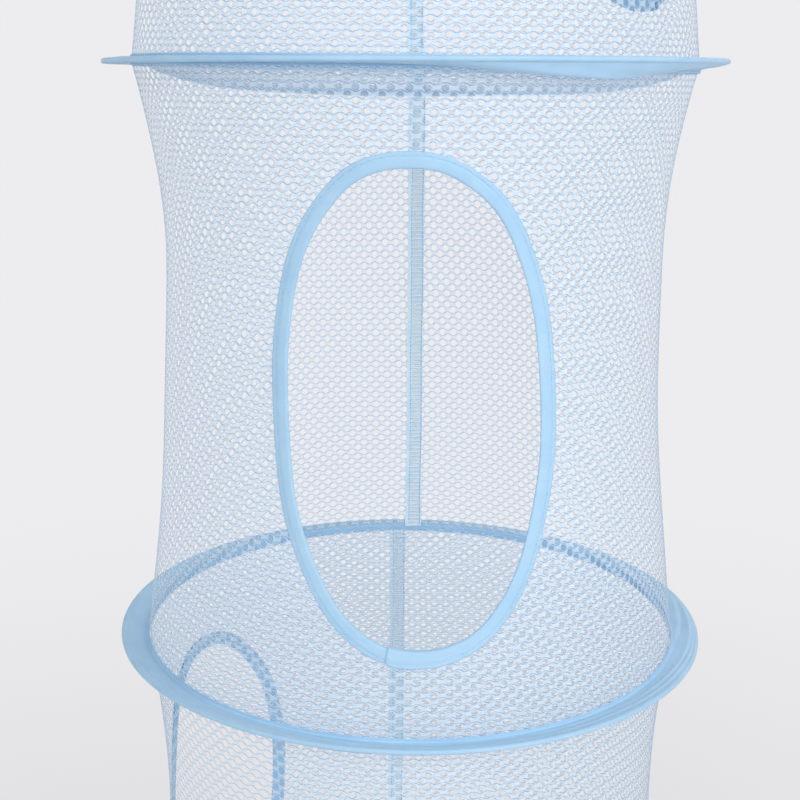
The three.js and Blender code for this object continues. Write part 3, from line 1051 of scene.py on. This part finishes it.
def leaf_top(radius):
    """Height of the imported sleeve's upper face above its hoop's plane."""
    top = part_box("top_sleeve")[1].z - RING_Z["top"]
    share = (HOOP_RADIUS - radius) / (HOOP_RADIUS - SLEEVE_INNER)
    return HOOP_INSET + (top - HOOP_INSET) * share


FOOT_IN = SLEEVE_INNER + 0.001
FOOT_OUT = HOOP_RADIUS - HOOP_WIRE


def strap_seats():
    """Heights of the middle of a strap's foot, at its inner and outer end."""
    above = RING_Z["top"] + SEAT_GAP + STRAP_CLOTH / 2
    return [above + leaf_top(radius) for radius in (FOOT_IN, FOOT_OUT)]


def strap(name, layer, to_frame):
    """A strap from foot to foot over the apex, in the layer under the tab (0) or the one below it (1)."""
    apex = STRAP_TOP - STRAP_CLOTH / 2 - layer * (STRAP_CLOTH + SEAT_GAP)
    seat = strap_seats()
    side = [(STRAP_APEX / 2, apex), (FOOT_IN, seat[0]), (FOOT_OUT, seat[1])]
    line = [(-x, z) for x, z in side[::-1]] + side
    parts = Parts()
    webbing(parts, line, to_frame)
    middle = (FOOT_IN + FOOT_OUT) / 2 + FOOT_STITCH_ASIDE
    for end in (-1, 1):
        place = to_frame(end * middle, sum(seat) / 2 + STRAP_CLOTH / 2, 0.0)
        along = to_frame(FOOT_STITCH_HALF[0], 0.0, 0.0)
        across = to_frame(0.0, 0.0, FOOT_STITCH_HALF[1])
        box_stitch(parts, place, along, across, np.array(UP, float))
    return parts.make(name + "_webbing", [WEBBING, RUNG])


def hang_tab():
    """A webbing loop round the bar of the hanging ring, with its two ends sewn down on the straps."""
    loop = DRING_WIRE / 2 + SEAT_GAP + STRAP_CLOTH / 2
    foot = -TAB_RISE + STRAP_CLOTH / 2
    over = np.linspace(math.pi, 0, 13)
    line = [(-TAB_LENGTH / 2, foot), (-loop, foot)]
    line += [(loop * math.cos(a), loop * math.sin(a)) for a in over]
    line += [(loop, foot), (TAB_LENGTH / 2, foot)]
    parts = Parts()
    webbing(parts, [(a, z + TAB_TOP) for a, z in line], in_front_plane)
    for end in (-1, 1):
        place = np.array([0, end * TAB_STITCH_PLACE, TAB_TOP + foot + STRAP_CLOTH / 2])
        along = in_front_plane(TAB_STITCH_HALF[0], 0.0, 0.0)
        across = in_front_plane(0.0, 0.0, TAB_STITCH_HALF[1])
        box_stitch(parts, place, along, across, np.array(UP, float))
    return parts.make("hang_tab_webbing", [WEBBING, RUNG])


def hanging_ring():
    """Bent and welded wire: a straight bar below and a round bow above."""
    bow, corner = (DRING_WIDTH + DRING_WIRE) / 2, DRING_CORNER

    def arc(x, z, radius, start, end, count):
        turn = np.radians(np.linspace(start, end, count))
        return np.stack([x + radius * np.cos(turn), z + radius * np.sin(turn)], 1)

    line = np.concatenate([
        arc(bow - corner, TAB_TOP + corner, corner, -90, 0, 9),
        arc(0, -DRING_WIDTH / 2, bow, 0, 180, 40),
        arc(corner - bow, TAB_TOP + corner, corner, 180, 270, 9),
    ])
    line = np.concatenate([line, line[:1]])
    line = evenly(line, DRING_STEP)[0][:-1]
    ahead = unit(np.roll(line, -1, 0) - np.roll(line, 1, 0))
    side = np.stack([ahead[:, 1], -ahead[:, 0]], 1)
    bend = np.linspace(0, 2 * math.pi, DRING_SIDES, endpoint=False)
    reach = DRING_WIRE / 2 * np.cos(bend)
    x = line[:, :1] + side[:, :1] * reach
    z = line[:, 1:] + side[:, 1:] * reach
    y = DRING_WIRE / 2 * np.sin(bend) + 0 * x
    quads, steps = grid_faces(len(line), DRING_SIDES, True, True)
    parts = Parts()
    parts.add(np.stack([x, y, z], -1), quads, steps)
    return parts.make("hanging_ring_steel", [RING_STEEL])


# Stage

def add_camera():
    """A camera in the photo's place, with its viewing angle."""
    camera = bpy.data.objects.new("camera", bpy.data.cameras.new("camera"))
    camera.data.sensor_width = SENSOR_MM
    camera.data.lens = FOCAL_PIXELS / PHOTO_SIZE * SENSOR_MM
    camera.data.clip_start = 0.05
    place = Matrix.Translation((0, -CAMERA_DISTANCE, RING_Z["second"] - CAMERA_BELOW_RING))
    yaw = Matrix.Rotation(math.radians(CAMERA_YAW), 4, "Z")
    pitch = Matrix.Rotation(math.radians(90 - CAMERA_PITCH), 4, "X")
    roll = Matrix.Rotation(math.radians(CAMERA_ROLL), 4, "Z")
    camera.matrix_world = place @ yaw @ pitch @ roll
    bpy.context.scene.collection.objects.link(camera)
    bpy.context.scene.camera = camera


PALE = (0.845, 0.84, 0.858, 1)
WORLD_LIGHT = 0.55
FLOOR_SIZE = 12.0
FLOOR_GAP = 0.03
FLOOR_FADE = (-1.1, 1.4)

# Lamps: place, size and power
LAMPS = {
    "key": ((0.95, -0.95, -0.3), 0.6, 6.5),
    "fill": ((-0.8, -2.7, 0.7), 1.6, 33),
    "back": ((0.9, 2.8, 0.6), 1.6, 15),
}


def seen_directly(tree):
    """1 for rays of the camera, of reflections and of see-through surfaces, and 0 for light."""
    path = add_node(tree, "ShaderNodeLightPath")
    total = path.outputs["Is Camera Ray"]
    for kind in ("Is Glossy Ray", "Is Transmission Ray"):
        total = math_node(tree, "MAXIMUM", total, path.outputs[kind])
    return total


def add_world():
    """Soft light from all round, seen as a pale background."""
    world = bpy.data.worlds.new("studio")
    bpy.context.scene.world = world
    world.use_nodes = True
    tree = world.node_tree
    tree.nodes.clear()
    light = add_node(tree, "ShaderNodeBackground", Strength=WORLD_LIGHT)
    pale = add_node(tree, "ShaderNodeBackground", Color=PALE)
    mix = add_node(tree, "ShaderNodeMixShader")
    output = add_node(tree, "ShaderNodeOutputWorld")
    link(tree, seen_directly(tree), mix.inputs["Fac"])
    link(tree, light.outputs["Background"], mix.inputs[1])
    link(tree, pale.outputs["Background"], mix.inputs[2])
    link(tree, mix.outputs["Shader"], output.inputs["Surface"])


def add_floor():
    """A pale floor that fades into the background with distance."""
    bpy.ops.mesh.primitive_plane_add(size=FLOOR_SIZE, location=(0, 0, cad_low.z - FLOOR_GAP))
    floor = bpy.context.object
    floor.name = "studio_floor"
    material, tree, shader = new_material("studio_floor")
    set_sockets(shader, {"Base Color": PALE, "Roughness": 0.9})
    pale = add_node(tree, "ShaderNodeEmission", Color=PALE)
    place = object_coordinates(tree)
    length = add_node(tree, "ShaderNodeVectorMath", operation="LENGTH")
    link(tree, place, length.inputs[0])
    fade = add_node(tree, "ShaderNodeMapRange", interpolation_type="SMOOTHSTEP")
    set_sockets(fade, {"From Min": FLOOR_FADE[0], "From Max": FLOOR_FADE[1]})
    link(tree, length.outputs["Value"], fade.inputs["Value"])
    factor = math_node(tree, "MULTIPLY", fade.outputs["Result"], seen_directly(tree))
    mix = add_node(tree, "ShaderNodeMixShader")
    link(tree, factor, mix.inputs["Fac"])
    link(tree, shader.outputs["BSDF"], mix.inputs[1])
    link(tree, pale.outputs["Emission"], mix.inputs[2])
    output = next(node for node in tree.nodes if node.type == "OUTPUT_MATERIAL")
    link(tree, mix.outputs["Shader"], output.inputs["Surface"])
    floor.data.materials.append(material)


def add_lamp(name, place, target, size, power):
    lamp = bpy.data.lights.new(name, "AREA")
    lamp.shape = "DISK"
    lamp.size = size
    lamp.energy = power
    holder = bpy.data.objects.new(name, lamp)
    holder.location = place
    bpy.context.scene.collection.objects.link(holder)
    holder.rotation_mode = "QUATERNION"
    holder.rotation_quaternion = (Vector(target) - Vector(place)).to_track_quat("-Z", "Y")


def add_lights():
    middle = (0, 0, (RING_Z["second"] + RING_Z["third"]) / 2)
    for name, (place, size, power) in LAMPS.items():
        add_lamp(name, place, middle, size, power)


# Assembly


def dress(piece, body, node):
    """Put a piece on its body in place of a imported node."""
    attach(piece, body)
    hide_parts(node)
    return piece


def longest(joint):
    """The full travel of a sliding joint."""
    return next(j for j in frame["joints"] if j["name"] == joint)["range_m"][1]


def mean_rise(ring):
    """Mean rise of a sleeve's sewn edge."""
    return HOOP_TILTS[ring][0] + SEAM_LIFTS[ring][0]


def seam_swing(ring):
    """How far the sewn edge of a sleeve rises over its mean where it stands highest."""
    _, front, right = np.add(HOOP_TILTS[ring], SEAM_LIFTS[ring])
    return math.hypot(front, right)


def folded_tier(tier):
    """Height towards which a tier's net folds, and the share of its height that is left.

    The folded net clears both sleeves where they stand nearest to it, because hoops hang off level.
    """
    upper, lower = rings_of(tier)
    top = RING_Z[upper] + mean_rise(upper) - seam_swing(upper) - NET_TUCK
    bottom = RING_Z[lower] + mean_rise(lower) + seam_swing(lower) + NET_TUCK
    return top, 1 - longest(tier + "_fold") / (top - bottom)


def add_tier(tier):
    """A tier's wall, binding and seam, and its floor."""
    upper, lower = rings_of(tier)
    wall = dress(net_wall(tier), upper + "_ring", tier + "_wall")
    tape = dress(binding(tier), upper + "_ring", tier + "_opening_binding")
    seam = dress(back_seam(tier), upper + "_ring", tier + "_back_seam")
    floor = dress(net_floor(tier), lower + "_ring", tier + "_floor")
    top, keep = folded_tier(tier)
    for piece in (wall, tape, seam):
        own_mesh(piece)
    around = oval_lengths()[1][-1]


def add_ring(ring):
    tape = dress(sleeve(ring), ring + "_ring", ring + "_sleeve")
    wire = dress(hoop(ring), ring + "_ring", ring + "_hoop")


def add_hanger():
    """The hanging ring, its tab and the two straps."""
    dress(hanging_ring(), "hanging_ring", "hanging_ring")
    tab = dress(hang_tab(), "strap_head", "hang_tab")
    for name, layer, to_frame in (("side_strap", 0, in_side_plane), ("front_strap", 1, in_front_plane)):
        piece = dress(strap(name, layer, to_frame), "strap_head", name)
        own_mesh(piece)


add_camera()
add_world()
add_floor()
add_lights()
for ring_name in RINGS:
    add_ring(ring_name)
for tier_name in TIERS:
    add_tier(tier_name)
add_hanger()

bpy.context.scene.view_settings.view_transform = "Standard"
